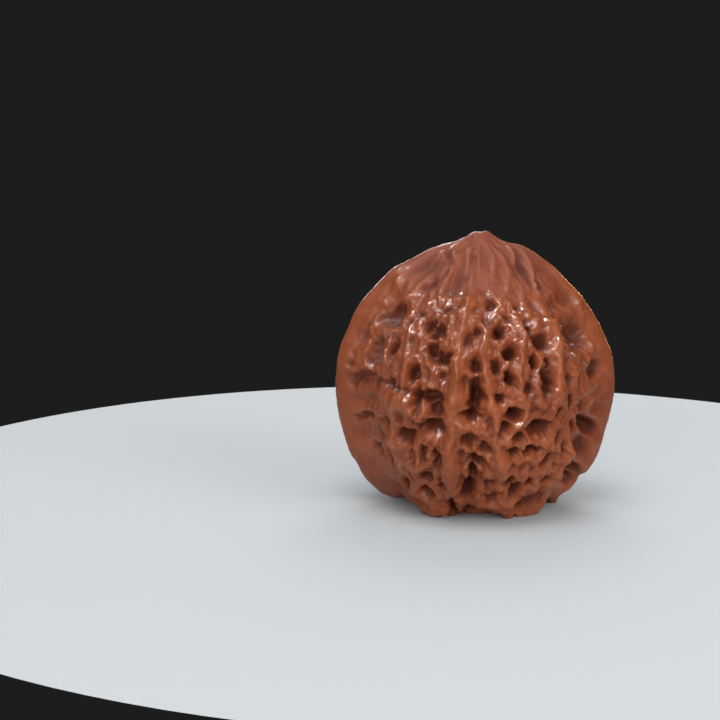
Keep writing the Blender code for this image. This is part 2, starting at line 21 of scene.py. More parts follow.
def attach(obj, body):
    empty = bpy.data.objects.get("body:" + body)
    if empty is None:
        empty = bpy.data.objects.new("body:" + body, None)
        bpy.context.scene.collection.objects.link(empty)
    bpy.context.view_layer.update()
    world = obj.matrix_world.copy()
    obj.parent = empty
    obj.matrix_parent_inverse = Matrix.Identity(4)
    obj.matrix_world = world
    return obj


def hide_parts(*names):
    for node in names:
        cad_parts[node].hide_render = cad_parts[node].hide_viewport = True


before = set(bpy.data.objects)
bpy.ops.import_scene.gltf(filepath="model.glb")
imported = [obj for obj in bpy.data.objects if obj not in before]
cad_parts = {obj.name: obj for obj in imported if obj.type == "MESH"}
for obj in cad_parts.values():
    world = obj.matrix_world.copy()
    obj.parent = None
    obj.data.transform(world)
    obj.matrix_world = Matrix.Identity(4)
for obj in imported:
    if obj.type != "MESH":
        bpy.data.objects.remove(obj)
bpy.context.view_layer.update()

LOG = logging.getLogger("walnut")
MM = 0.001
BALL_MM = 20.0
DEGREE_MM = math.radians(BALL_MM)


class Spread(Enum):
    """How the side of a mark falls away."""

    STEEP = 1.4
    ROUND = 1.0


class Lamp(Enum):
    """The lamps of the studio."""

    OVERHEAD = "overhead"
    SHEEN = "sheen"
    VEIL = "veil"
    FAR = "far"
    RIGHT = "right_fill"
    FRONT = "front_fill"
    BACK = "back_rim"
    GLINT = "glint"
    WARM = "warm_edge"


class Share(Enum):
    """Which part of the shading a lamp lights."""

    MATTE = "matte"
    GLOSS = "gloss"


@dataclass(frozen=True)
class Mark:
    """A pit or a knob: where it is, how large, how deep or high, and how far it leans."""

    turn: float
    fall: float
    wide: float
    tall: float
    size: float
    lean: float = 0.0


@dataclass(frozen=True)
class Rib:
    """A rib that runs down the shell through (turn, fall) spots."""

    half: float
    high: float
    path: tuple


@dataclass(frozen=True)
class Light:
    """A soft square lamp: place and side in metres, power in watts, colour, and what it lights."""

    lamp: Lamp
    place: tuple
    side: float
    power: float
    colour: tuple
    share: Share


# Driving sizes
MIDDLE_HEIGHT_MM = 18.7
SMOOTH_STEPS = 2
SEED = 11
WARP_SEED = 1795842334

# Round form: distance from the middle at each fall, for the two rims and for the belly
FALLS = (0, 3, 6, 10, 18, 28, 40, 55, 70, 90, 110, 125, 138, 148, 156, 165, 180)
RIM_RIGHT_MM = (22.6, 22.9, 22.3, 21.6, 21.7, 21.0, 20.4, 20.2, 20.5, 21.0, 21.1, 22.1, 22.4, 22.4, 20.4,
                19.1, 17.6)
RIM_LEFT_MM = (22.6, 22.5, 22.0, 21.5, 21.6, 21.4, 21.3, 21.1, 21.1, 21.3, 21.6, 22.2, 22.7, 22.3, 20.4,
               19.1, 17.6)
BELLY_MM = (22.5, 22.4, 21.6, 20.5, 19.0, 17.9, 17.5, 17.9, 18.3, 18.6, 19.1, 19.6, 20.1, 20.75, 20.35,
            19.0, 17.6)

# Rim section
RIM_ROOT = 0.79
RIM_DROP = 0.25
RIM_EDGE_DEG = 3.0
RIM_FALLOFF_DEG = 12.0
ROUNDING_MM = 1.0

# Direction in which the relief is raised: more to the front or the back than the surface faces, and
# on the belly a little down
SIDEWAYS = 0.75
DROOP = 0.28

# Relief as a whole
PIT_DEPTH = 1.35
PIT_SIZE = 0.84
KNOB_RISE = 1.0
RIB_RISE = 1.3
SHOULDER_MM = 0.45
FOLD_MM = 0.5
FOLD_RISE = 1.35
BUMP_MM = 0.55
CREASE_MM = 0.28
CAP_FOLD_MM = 0.4
FINE_WARP_MM = 0.38
DIMPLE_RISE = 1.3
STRIPE_MM = 0.04
SEAM_MM = 0.12
SEAM_HALF_DEG = 0.9

# Relief marks: turn, fall, width across, height down, depth (below the form) in millimetres, and
# lean where there is one
FRONT_PITS = tuple(Mark(*spot) for spot in (
    # left flank
    (-66, 52, 5.6, 4.6, 1.7, -20), (-68, 72, 3.8, 5.4, 1.5, 8), (-52, 68, 1.6, 4.4, 1.1, 5),
    (-66, 119, 3.6, 2.6, 1.3, 10), (-55, 122, 1.5, 4.0, 1.3, 10), (-50, 134, 1.5, 3.2, 1.1, 10),
    (-49, 84, 1.6, 2.0, 1.0), (-50, 100, 1.2, 2.6, 0.7), (-48, 54, 1.8, 1.6, 0.7),
    # left of the belly
    (-33, 55, 2.0, 2.6, 1.5), (-25, 57, 2.0, 2.6, 1.7), (-26, 66, 1.7, 2.2, 1.8),
    (-25, 46, 1.5, 1.4, 0.8), (-21, 70, 3.6, 2.2, 2.1), (-35, 78, 2.0, 2.6, 1.7),
    (-19, 78, 1.3, 1.1, 0.9), (-24, 87, 4.9, 1.5, 2.1), (-31, 88, 1.3, 3.6, 2.2),
    (-40, 86, 4.6, 1.3, 1.2), (-21, 93, 2.1, 2.8, 1.6), (-39, 106, 2.7, 2.2, 2.1),
    (-24, 100, 4.2, 1.6, 2.4), (-29, 113, 1.0, 3.4, 1.0), (-22, 114, 1.1, 3.8, 1.0),
    (-35, 115, 1.1, 3.0, 0.9), (-31, 125, 1.9, 1.7, 1.8), (-33, 134, 2.0, 1.9, 1.7),
    (-43, 142, 3.4, 2.0, 1.0), (-22, 128, 1.2, 2.4, 0.9), (-43, 97, 1.1, 2.2, 0.8),
    (-43, 49, 2.0, 1.5, 0.6), (-41, 64, 1.3, 2.2, 0.9), (-43, 126, 1.3, 3.0, 0.9),
    # middle of the belly
    (-3, 57, 1.5, 1.5, 0.9), (-8, 61, 1.2, 2.8, 0.8), (-4, 73, 1.5, 2.5, 1.8),
    (-9, 81, 1.2, 2.0, 1.1), (-4, 86, 1.8, 4.6, 2.7), (-6, 94, 3.0, 1.1, 2.3),
    (-7, 105, 2.4, 1.8, 1.1), (1, 108, 1.8, 1.8, 1.4), (-2, 115, 2.4, 1.6, 2.7),
    (-4, 123, 1.7, 3.2, 2.1), (-8, 132, 2.1, 3.0, 2.1), (3, 127, 1.3, 3.0, 1.0),
    (5, 42, 1.2, 2.2, 1.0), (9, 57, 1.9, 2.6, 1.9, 25), (12, 67, 2.1, 2.2, 2.1, 25),
    (5, 74, 1.0, 2.4, 1.4), (11, 79, 1.8, 2.0, 2.2), (7, 87, 1.2, 1.4, 1.4),
    (14, 93, 2.7, 1.6, 2.9), (10, 99, 1.8, 1.9, 1.5), (3, 96, 1.0, 2.2, 0.8),
    (1, 52, 1.2, 1.6, 0.6), (-12, 51, 1.1, 2.0, 0.5), (14, 50, 1.4, 1.6, 0.7),
    # right of the belly
    (24, 45, 1.1, 1.4, 0.8), (25, 55, 1.2, 2.4, 1.2), (33, 63, 3.4, 2.6, 1.8),
    (25, 72, 1.7, 2.6, 1.7), (31.5, 82, 2.2, 3.9, 2.5), (34, 73, 1.0, 1.7, 2.0),
    (27, 101, 4.2, 1.8, 2.9), (17, 104, 1.8, 1.4, 1.5), (23, 110.5, 2.6, 1.2, 2.4),
    (14, 111, 1.5, 1.2, 2.0), (33, 117, 2.0, 1.3, 1.9), (39, 107, 1.4, 1.4, 1.2),
    (15, 126, 1.4, 2.2, 2.0), (20, 132, 1.4, 3.0, 2.0), (27, 126, 1.2, 2.2, 1.2),
    (37, 141, 5.0, 3.2, 2.2), (8, 136, 1.2, 3.0, 1.1), (39, 128, 1.4, 2.2, 1.0),
    (46, 82, 1.2, 2.0, 1.2), (47, 92, 1.2, 2.2, 1.8), (44, 112, 1.0, 1.4, 1.0),
    (20, 84, 1.0, 2.4, 0.9), (38, 95, 1.6, 1.4, 1.0), (50, 104, 1.6, 2.0, 1.3),
    # right flank
    (68, 62, 6.0, 4.8, 1.9, 12), (75, 81, 4.6, 2.8, 1.4), (62, 95, 3.3, 2.3, 2.1),
    (74, 107, 8.0, 2.0, 2.3, 20), (72, 117, 8.0, 3.6, 1.2, 15), (60, 122, 3.4, 2.8, 1.4),
    (74, 128, 5.0, 1.5, 1.8), (80, 134, 3.6, 1.8, 1.2), (55, 72, 1.3, 3.0, 1.1, 12),
    (53, 59, 1.2, 3.0, 0.8, 10), (55, 84, 1.5, 2.6, 1.0),
    # under the feet
    (-17.5, 146, 0.9, 5.5, 2.4), (-5, 149, 2.4, 3.6, 1.3), (7, 150, 2.6, 3.0, 1.0),
))

# Soft dimples and grooves, told the same way
FRONT_DIMPLES = tuple(Mark(*spot) for spot in (
    # both rims
    (-79, 88, 5.6, 2.5, 0.9), (-64, 87, 4.2, 2.4, 1.1), (-72, 96, 9.4, 3.2, 0.7),
    (-72, 104.5, 7.6, 0.9, 0.7, -16), (-77, 111.5, 8.4, 3.2, 0.6, -10), (-84, 42, 3.0, 3.0, 0.4),
    (66, 44, 4.4, 2.0, 0.7), (82, 47, 4.2, 2.2, 0.6), (80, 60, 3.0, 4.4, 0.5),
    (81, 93, 6.4, 3.0, 0.6), (80, 101, 5.6, 2.2, 0.5), (90, 132, 9.0, 1.3, 0.9),
    (-90, 126, 8.0, 1.6, 0.35), (-60, 110, 2.6, 2.6, 0.6), (-84, 62, 2.4, 5.0, 0.35),
    # cap
    (-72, 27, 6.6, 3.4, 0.9, -30), (-38, 20, 1.8, 1.8, 0.6), (-48, 30, 4.8, 0.9, 0.5, 50),
    (52, 25, 1.6, 3.4, 0.5), (76, 29, 3.0, 1.4, 0.5, 20), (40, 24, 1.2, 4.2, 0.45),
    (-22, 24, 1.1, 5.0, 0.35), (-4, 27, 0.8, 4.6, 0.25), (8, 25, 0.7, 4.6, 0.25),
    (66, 34, 2.4, 3.0, 0.5),
))

# Bumps: turn, fall, width across, height down, rise in millimetres, lean
FRONT_KNOBS = tuple(Mark(*spot) for spot in (
    # thin ridges round the big pits of the flanks
    (-62, 61, 8.6, 0.8, 0.55, -6), (-66, 44.5, 6.4, 0.8, 0.45, -30), (-64, 70, 0.9, 4.6, 0.5, 5),
    (-82, 70, 1.6, 5.0, 0.35, 8), (-4, 102, 4.6, 0.7, 0.6, 30), (64, 76, 3.0, 0.8, 0.4, 35),
    # lobes of the belly
    (-38, 93, 4.6, 3.8, 0.6), (7, 116, 2.6, 3.2, 0.7), (19, 117, 2.6, 2.4, 0.7),
    (26, 116, 2.4, 2.4, 0.7), (34, 110, 3.4, 2.6, 0.7), (-44, 112, 2.4, 3.0, 0.5),
    (21.5, 107, 2.0, 1.4, 0.6), (-29, 73, 1.8, 1.8, 0.6), (26, 91, 2.6, 2.0, 0.6),
    (-28, 95, 2.2, 2.2, 0.5), (5, 109, 1.8, 1.6, 0.5), (24, 125, 2.2, 2.8, 0.6),
    (42, 121, 2.2, 2.6, 0.6), (-35, 121, 2.0, 3.0, 0.5), (32, 131, 2.2, 3.6, 0.6),
    (-50, 62, 1.6, 1.8, 0.6), (-54, 52, 1.5, 1.8, 0.5), (12, 121, 2.2, 2.4, 0.5),
    # top of the belly
    (-38, 44, 1.2, 1.6, 0.5), (-30, 40, 1.9, 1.2, 0.5), (-20, 39.5, 1.6, 1.0, 0.5),
    (-11, 41, 1.2, 1.2, 0.4), (-1, 41, 1.9, 1.2, 0.5), (10, 41, 1.8, 1.2, 0.5),
    (18, 42, 1.2, 1.0, 0.4), (7, 50, 1.6, 1.0, 0.5), (20, 50, 1.2, 1.4, 0.5),
    (-17, 49, 1.4, 1.4, 0.5), (-31, 50, 1.0, 1.6, 0.4), (34, 49, 1.2, 2.2, 0.4),
    # cap
    (48, 17, 1.7, 3.2, 0.6), (60, 27, 1.4, 3.4, 0.5), (-36, 24, 1.4, 3.6, 0.5),
    (10, 22, 1.0, 3.6, 0.25), (-12, 22, 1.0, 4.0, 0.25),
    # feet and the teeth between them
    (-38, 146, 5.4, 4.6, 1.3), (-27, 149, 3.6, 3.6, 1.2), (-12, 141, 2.0, 3.0, 0.6),
    (1, 142, 2.8, 3.2, 0.5), (11, 142, 2.0, 3.0, 0.5), (22, 148, 2.2, 4.2, 1.4),
    (45, 148.5, 4.0, 4.0, 2.2), (148, 147, 4.0, 4.2, 1.0), (-148, 148, 4.4, 4.2, 1.1),
    (178, 147, 3.0, 3.6, 0.7), (-118, 147, 3.0, 3.6, 0.5),
))

# Ribs: half width and rise in millimetres, then turn and fall along the rib. A rise below 0 is a
# groove.
FRONT_RIBS = tuple(Rib(*line) for line in (
    (0.95, 0.75, ((-9, 34), (-10, 42), (-12, 57), (-12, 71), (-13, 86), (-14, 101), (-15, 118), (-17, 136))),
    (0.22, -0.25, ((-8, 40), (-9, 57), (-10, 71), (-11, 86), (-12, 101), (-13, 118), (-15, 130))),
    (0.5, 0.35, ((-46, 52), (-43, 60), (-41, 70), (-40, 80), (-42, 92), (-46, 105), (-44, 132))),
    (0.5, 0.5, ((0, 52), (0, 60), (0, 70), (2, 84), (4, 95), (6, 105), (8, 112), (10, 130))),
    (0.45, 0.45, ((23, 54), (18, 65), (16, 76), (17, 84), (18.5, 89), (17.5, 97), (12, 102), (11, 108))),
    (0.45, 0.4, ((28, 66), (28, 74), (25, 80), (24.5, 90))),
    (0.9, 0.75, ((44, 40), (44, 49), (43, 60), (41, 70), (38, 82), (36, 91))),
    (0.35, 0.35, ((-19, 48), (-19, 60), (-20, 66))),
    (0.3, 0.4, ((47, 71), (50, 76), (55, 84), (56, 90))),
    (0.4, 0.35, ((60, 20), (57, 24), (51, 34), (50, 37))),
    (0.4, 0.35, ((-86, 30), (-80, 38), (-76, 45))),
    (0.45, -0.6, ((70, 10), (35, 16), (28, 22), (25, 30))),
    (0.4, -0.35, ((-22, 8), (-22, 20), (-34, 31))),
    (0.6, -0.8, ((58, 36), (60, 42), (60, 50), (60, 57))),
    (0.5, -0.55, ((-81, 58), (-82, 66), (-82, 76))),
    (0.45, 0.4, ((48, 96), (46, 104), (48, 114), (48, 126), (46, 136))),
))

# Thin folds between the plates of the flanks and the cap: half width and rise in millimetres, then
# turn and fall along the fold. A rise below 0 is a groove.
FRONT_FOLDS = tuple(Rib(*line) for line in (
    # cap
    (0.4, 0.4, ((-80, 20), (-82, 28), (-79, 35), (-74, 41))),
    (0.35, -0.45, ((-70, 14), (-50, 17), (-37, 22), (-37, 27), (-44, 32), (-52, 36))),
    (0.35, 0.35, ((-60, 12), (-42, 17), (-36, 24))),
    (0.35, 0.35, ((-24, 11), (-20, 19), (-22, 25))),
    (0.3, -0.35, ((-11, 15), (-12, 22), (-15, 28))),
    (0.35, 0.35, ((70, 10), (52, 15), (43, 21))),
    (0.35, -0.4, ((67, 15), (53, 21), (50, 28), (47, 34))),
    (0.35, 0.4, ((78, 15), (67, 21), (60, 27), (53, 33))),
    (0.45, -0.5, ((58, 32), (57, 38), (59, 45), (54, 55))),
    (0.4, 0.45, ((63, 32), (66, 37), (71, 45), (74, 52))),
    # left flank
    (0.35, 0.45, ((-59, 43), (-71, 48), (-76, 54), (-77, 60), (-76, 64))),
    (0.35, 0.5, ((-49, 57), (-60, 62), (-71, 64), (-74, 68), (-75, 74), (-73, 80))),
    (0.35, 0.35, ((-85, 74), (-85, 84))),
    (0.35, 0.4, ((-83, 86), (-79, 84), (-70, 81))),
    (0.35, 0.4, ((-56, 63), (-55, 68), (-55, 75))),
    (0.4, -0.45, ((-78, 59), (-81, 67), (-82, 75), (-82, 82))),
    (0.35, -0.4, ((-81, 92), (-78, 85), (-68, 83), (-55, 85), (-46, 84))),
    (0.35, -0.4, ((-81, 106), (-75, 105), (-64, 104), (-53, 103))),
    (0.4, 0.4, ((-50, 91), (-49, 98), (-50, 106), (-49, 112))),
    # right flank
    (0.35, 0.35, ((85, 39), (86, 45), (84, 50))),
    (0.35, 0.45, ((56, 56), (67, 58), (71, 65), (71, 72), (69, 79))),
    (0.35, 0.45, ((47, 68), (51, 72), (55, 77), (58, 84))),
    (0.35, 0.4, ((84, 51), (81, 58), (79, 65), (78, 72))),
    (0.35, 0.35, ((70, 96), (79, 95), (85, 91))),
    (0.4, 0.5, ((41, 114), (49, 115), (62, 120), (58, 124), (55, 128), (54, 132))),
    # belly
    (0.35, 0.4, ((-19, 55), (-16, 64), (-14, 71), (-12, 80))),
    (0.35, -0.4, ((36, 89), (32, 92), (29, 95))),
))

# The same kind of relief, strewn by rule where the front marks end
STREWN_PITS = 420
STREWN_TRIES = 9000
STREWN_SPACING = 0.86
BACK_RIBS = (104, 119, 133, 147, 160, 173, 187, 201, 214, 228, 242, 257)

# How fine the finish's patterns are, in a metre
CLOUD_SCALE = 95.0
FLECK_SCALE = 620.0
WRINKLE_SCALE = 1500.0
PORE_SCALE = 1900.0

WHITE = (1.0, 0.99, 0.98)
LIGHTS = (
    Light(Lamp.OVERHEAD, (-0.06, -0.12, 0.44), 0.26, 1.1, WHITE, Share.MATTE),
    Light(Lamp.SHEEN, (-0.10, -0.36, 0.34), 0.22, 1.0, WHITE, Share.GLOSS),
    Light(Lamp.VEIL, (-0.26, -0.48, 0.04), 0.30, 0.5, WHITE, Share.GLOSS),
    Light(Lamp.RIGHT, (0.36, -0.32, 0.20), 0.30, 1.25, WHITE, Share.MATTE),
    Light(Lamp.FRONT, (-0.20, -0.54, 0.08), 0.50, 2.3, WHITE, Share.MATTE),
    Light(Lamp.BACK, (-0.07, 0.45, 0.15), 0.14, 4.5, (0.96, 0.98, 1.0), Share.GLOSS),
    Light(Lamp.FAR, (0.03, 0.38, 0.34), 0.30, 1.0, WHITE, Share.MATTE),
    Light(Lamp.GLINT, (-0.10, -0.08, 0.44), 0.035, 2.7, (1.0, 1.0, 1.0), Share.GLOSS),
    Light(Lamp.WARM, (0.13, 0.46, 0.07), 0.18, 3.2, (1.0, 0.55, 0.25), Share.GLOSS),
)


def along(x: np.ndarray, xs: tuple, ys: tuple) -> np.ndarray:
    """Reads a smooth line through points.

    Args:
        x: Where to read it.
        xs: Rising positions of the points.
        ys: Values at the points.

    Returns:
        The line's value at each x.
    """
    xs = np.asarray(xs, float)
    ys = np.asarray(ys, float)
    slope = np.gradient(ys, xs)
    slope[0] = slope[-1] = 0.0
    i = np.clip(np.searchsorted(xs, x) - 1, 0, len(xs) - 2)
    step = xs[i + 1] - xs[i]
    t = np.clip((x - xs[i]) / step, 0.0, 1.0)
    start = (1 + 2 * t) * (1 - t) ** 2 * ys[i] + t * (1 - t) ** 2 * step * slope[i]
    end = t * t * (3 - 2 * t) * ys[i + 1] + t * t * (t - 1) * step * slope[i + 1]
    return start + end


def ramp(x: np.ndarray, low: float, high: float) -> np.ndarray:
    """Goes from 0 at low to 1 at high without a kink.

    Args:
        x: Where to read it.
        low: Where it leaves 0.
        high: Where it reaches 1.

    Returns:
        A share from 0 to 1 at each x.
    """
    t = np.clip((x - low) / (high - low), 0.0, 1.0)
    return t * t * (3 - 2 * t)


@dataclass
class RoundForm:
    """The smooth form under the relief."""

    root: float = RIM_ROOT
    drop: float = RIM_DROP
    edge_deg: float = RIM_EDGE_DEG
    falloff_deg: float = RIM_FALLOFF_DEG
    rounding: float = ROUNDING_MM

    def reach(self, turn: np.ndarray, fall: np.ndarray) -> np.ndarray:
        """Distance from the nut's middle to the form.

        Args:
            turn: Turn of each direction.
            fall: Fall of each direction.

        Returns:
            The distances in millimetres.
        """
        across = np.sin(np.radians(turn))
        lift = np.degrees(np.arcsin(np.clip(np.abs(np.cos(np.radians(turn))), 0, 1)))
        right = (across + 1) / 2
        rim = along(fall, FALLS, RIM_LEFT_MM) * (1 - right) + along(fall, FALLS, RIM_RIGHT_MM) * right
        belly = along(fall, FALLS, BELLY_MM)
        level = np.sin(np.radians(fall))
        root = self.root + (1 - self.root) * (1 - level) ** 2
        power = 2.0 + 0.3 * ramp(fall, 60, 130)
        side = np.abs(np.cos(np.radians(lift))) / (rim * root)
        front = np.abs(np.sin(np.radians(lift))) / belly
        body = (side ** power + front ** power) ** (-1 / power)
        falloff = self.falloff_deg / np.maximum(level, 0.25)
        drop = self.drop * np.minimum(1, level * 1.3)
        away = np.hypot(lift, self.edge_deg) - self.edge_deg
        fin = rim * (1 - drop * (1 - np.exp(-away / falloff)))
        soft = self.rounding
        at_pole = soft * math.log(2) * (1 - level) ** 2
        return np.logaddexp(body / soft, fin / soft) * soft - at_pole


@dataclass
class Relief:
    """Ribs, knobs and pits, and how they join into one height."""

    seed: int = SEED
    strewn: int = STREWN_PITS
    spacing: float = STREWN_SPACING

    def marks(self, turn: np.ndarray, fall: np.ndarray, marks: list, grow: float,
              spread: Spread) -> np.ndarray:
        """Joins marks of one kind into one field.

        Args:
            turn: Turn of each point.
            fall: Fall of each point.
            marks: The marks.
            grow: How much larger each one is than it says.
            spread: How its side falls away.

        Returns:
            The field's size at each point.
        """
        total = np.zeros_like(turn)
        for mark in marks:
            du = ((turn - mark.turn + 180) % 360 - 180) * DEGREE_MM * np.sin(np.radians(fall))
            dv = (fall - mark.fall) * DEGREE_MM
            near = np.flatnonzero(du * du + dv * dv < (2.0 * max(mark.wide, mark.tall)) ** 2)
            a = math.radians(mark.lean)
            u = du[near] * math.cos(a) + dv[near] * math.sin(a)
            v = dv[near] * math.cos(a) - du[near] * math.sin(a)
            t = (u / (mark.wide * grow / 2)) ** 2 + (v / (mark.tall * grow / 2)) ** 2
            steep = min(spread.value, 1.0 + 1.2 / max(mark.wide, mark.tall))
            total[near] += (mark.size * np.exp(-0.6 * t ** steep)) ** 3
        return np.cbrt(total)

    def ribs(self, turn: np.ndarray, fall: np.ndarray, ribs: list) -> tuple:
        """Height of the ribs, and how fully one fills each spot.

        Args:
            turn: Turn of each point.
            fall: Fall of each point.
            ribs: The ribs.

        Returns:
            The rise, and the share filled.
        """
        rise = np.zeros_like(turn)
        fill = np.zeros_like(turn)
        for rib in ribs:
            order = sorted(rib.path, key=lambda spot: spot[1])
            falls = [spot[1] for spot in order]
            turns = [spot[0] for spot in order]
            centre = along(np.clip(fall, falls[0], falls[-1]), falls, turns)
            du = ((turn - centre + 180) % 360 - 180) * DEGREE_MM * np.sin(np.radians(fall))
            ends = ramp(fall, falls[0] - 3, falls[0] + 5) * (1 - ramp(fall, falls[-1] - 5, falls[-1] + 3))
            shape = np.exp(-0.7 * (du / rib.half) ** 2) * ends
            rise = np.maximum(rise, rib.high * shape) if rib.high > 0 else rise + rib.high * shape
            fill = np.maximum(fill, shape * np.clip(rib.high / 0.5, 0, 1))
        return rise, fill

    def folds(self, turn: np.ndarray, fall: np.ndarray, folds: tuple) -> np.ndarray:
        """Height of the thin folds that run along paths over the shell.

        Args:
            turn: Turn of each point.
            fall: Fall of each point.
            folds: The folds.

        Returns:
            The height in millimetres.
        """
        total = np.zeros_like(turn)
        for line in folds:
            near = np.full_like(turn, 9.0)
            for (t0, f0), (t1, f1) in zip(line.path, line.path[1:]):
                across = DEGREE_MM * math.sin(math.radians((f0 + f1) / 2))
                u = (turn - t0) * across
                v = (fall - f0) * DEGREE_MM
                a = (t1 - t0) * across
                b = (f1 - f0) * DEGREE_MM
                s = np.clip((u * a + v * b) / (a * a + b * b), 0.0, 1.0)
                near = np.minimum(near, np.hypot(u - s * a, v - s * b))
            total += line.high * np.exp(-0.7 * (near / line.half) ** 2)
        return total

    def strewn_marks(self) -> tuple:
        """Pits and knobs for the back, the sides and the underside.

        Returns:
            The pits, and the knobs.
        """
        rng = random.Random(self.seed)
        pits, knobs = [], []
        for _ in range(STREWN_TRIES):
            if len(pits) >= self.strewn:
                break
            turn = rng.uniform(-180, 180)
            fall = math.degrees(math.acos(rng.uniform(-0.985, 0.76)))
            edge = abs(90 - abs(turn)) * math.sin(math.radians(fall))
            if abs(turn) < 90 and fall < 148:
                continue
            if edge < 16 and fall < 140:
                continue
            deep = rng.choice((0.8, 1.2, 1.5, 1.9, 2.4))
            deep *= 0.55 + 0.45 * min(1.0, (fall - 38) / 40)
            if fall > 150:
                deep = min(deep, 1.2)
            wide = rng.uniform(1.1, 2.4)
            tall = wide * rng.uniform(0.7, 2.0)
            if edge < 26:
                wide, tall, deep = wide * 1.5, tall * 1.3, deep * 0.8
            here = Vector((math.sin(math.radians(fall)) * math.sin(math.radians(turn)),
                           -math.sin(math.radians(fall)) * math.cos(math.radians(turn)),
                           math.cos(math.radians(fall)))) * BALL_MM
            size = (wide + tall) / 2
            if any((here - there).length < self.spacing * (size + other) / 2 + 0.55
                   for there, other, _ in pits):
                continue
            pits.append((here, size, Mark(turn, fall, wide, tall, deep, rng.uniform(-25, 25))))
            knobs.append(Mark(turn + rng.uniform(-6, 6), fall + rng.uniform(4, 8), rng.uniform(1.5, 2.6),
                          rng.uniform(1.4, 2.4), rng.uniform(0.2, 0.6)))
        return [mark for _, _, mark in pits], knobs

    def back_ribs(self) -> list:
        """Ribs of the back half, each with its own slow bends.

        Returns:
            The ribs.
        """
        rng = random.Random(self.seed + 1)
        ribs = []
        for turn in BACK_RIBS:
            sway = [rng.uniform(-2.2, 2.2) for _ in range(7)]
            falls = (40, 55, 70, 85, 100, 118, 136)
            half = rng.uniform(0.4, 0.8)
            ribs.append(Rib(half, half * rng.uniform(0.6, 0.95),
                         tuple((turn + bend, fall) for bend, fall in zip(sway, falls))))
        return ribs

    def height(self, turn: np.ndarray, fall: np.ndarray, unit: np.ndarray) -> dict:
        """Height of the relief over the round form, and what the finish reads from it.

        Args:
            turn: Turn of each point.
            fall: Fall of each point.
            unit: Direction of each point from the middle.

        Returns:
            Named fields, one value a point.
        """
        noise.seed_set(WARP_SEED)
        warp = np.empty((len(turn), 3))
        lump, fine, fold, crease, bump, fan = np.empty((6, len(turn)))
        for i, (x, y, z) in enumerate(unit):
            spot = Vector((x, y, z)) * BALL_MM
            flat = Vector((spot.x, spot.y, spot.z * 0.75))
            warp[i] = noise.noise_vector(flat * 0.34) * 0.40 + noise.noise_vector(flat * 0.95) * 0.36
            warp[i] += noise.noise_vector(flat * 1.7) * FINE_WARP_MM
            lump[i] = noise.noise(flat * 0.55 + Vector((7.1, 2.3, 5.9))) + 0.5 * noise.noise(flat * 0.24)
            cell = flat * 0.45 + Vector((1.7, 4.2, 9.4)) + noise.noise_vector(flat * 0.5) * 0.5
            near = noise.voronoi(cell)[0]
            fine[i] = near[1] - near[0]
            fold[i] = noise.noise(flat * 0.4 + Vector((3.3, 8.1, 1.7)))
            crease[i] = noise.noise(flat * 0.72 + Vector((9.2, 1.3, 4.4)))
            bump[i] = noise.noise(flat * 1.05 + Vector((5.2, 6.6, 2.9)))
            ring = math.hypot(x, y) + 0.02
            fan[i] = noise.noise(Vector((x / ring * 3.6, y / ring * 3.6, z * 5.0)))
        # Below the cap the warp bends the directions
        level = np.maximum(np.sin(np.radians(fall)), 0.2)
        turn = turn + warp[:, 0] / DEGREE_MM / level * ramp(fall, 25, 45)
        fall = fall + warp[:, 1] / DEGREE_MM * ramp(fall, 25, 45)

        # Degrees from the rim, how far the cap reaches down at each turn, and the share of belly
        edge = np.abs(90 - np.abs((turn + 180) % 360 - 180)) * level
        arch = 0.006 * ((turn + 95) % 180 - 90) ** 2
        near_rim = np.where((turn < 0) & (turn > -90), 36, 20)
        belly = ramp(edge - near_rim, 0, 18) * ramp(fall - arch, 32, 43) * (1 - ramp(fall, 152, 166))
        strewn_pits, strewn_knobs = self.strewn_marks()
        sunk = fall - 2.2 * ramp(fall, 72, 108) * (1 - ramp(fall, 132, 156))
        pits = self.marks(turn, sunk, list(FRONT_PITS) + strewn_pits, PIT_SIZE, Spread.STEEP) * PIT_DEPTH
        dimples = self.marks(turn, fall, list(FRONT_DIMPLES), 1.0, Spread.ROUND)
        knobs = self.marks(turn, fall, list(FRONT_KNOBS) + strewn_knobs, 1.0, Spread.ROUND) * KNOB_RISE
        rise, fill = self.ribs(turn, fall, list(FRONT_RIBS) + self.back_ribs())
        low = 0.45 + 0.55 * ramp(fall, 60, 110)
        shoulder = SHOULDER_MM * belly * (1 - ramp(fall - arch, 42, 62))
        sides = np.maximum(ramp(edge, 2, 11), 1 - ramp(fall, 30, 40) * (1 - ramp(fall, 120, 128)))
        height = shoulder - pits * sides * (1 - 0.8 * fill) - DIMPLE_RISE * dimples * (0.4 + 0.6 * sides)
        height += knobs * sides + rise * RIB_RISE
        height += FOLD_RISE * self.folds(turn, fall, FRONT_FOLDS) * (0.3 + 0.7 * ramp(edge, 1, 6))
        lobes = ramp(fall, 84, 108) * (1 - 0.5 * ramp(fall, 126, 145))
        net = (0.45 * lobes - 0.32 * (1 - lobes)) * (np.sqrt(np.clip(fine, 0, 1)) - 0.6)
        height += belly * low * (lump * 0.6 + net * (1 - fill) * 1.6)

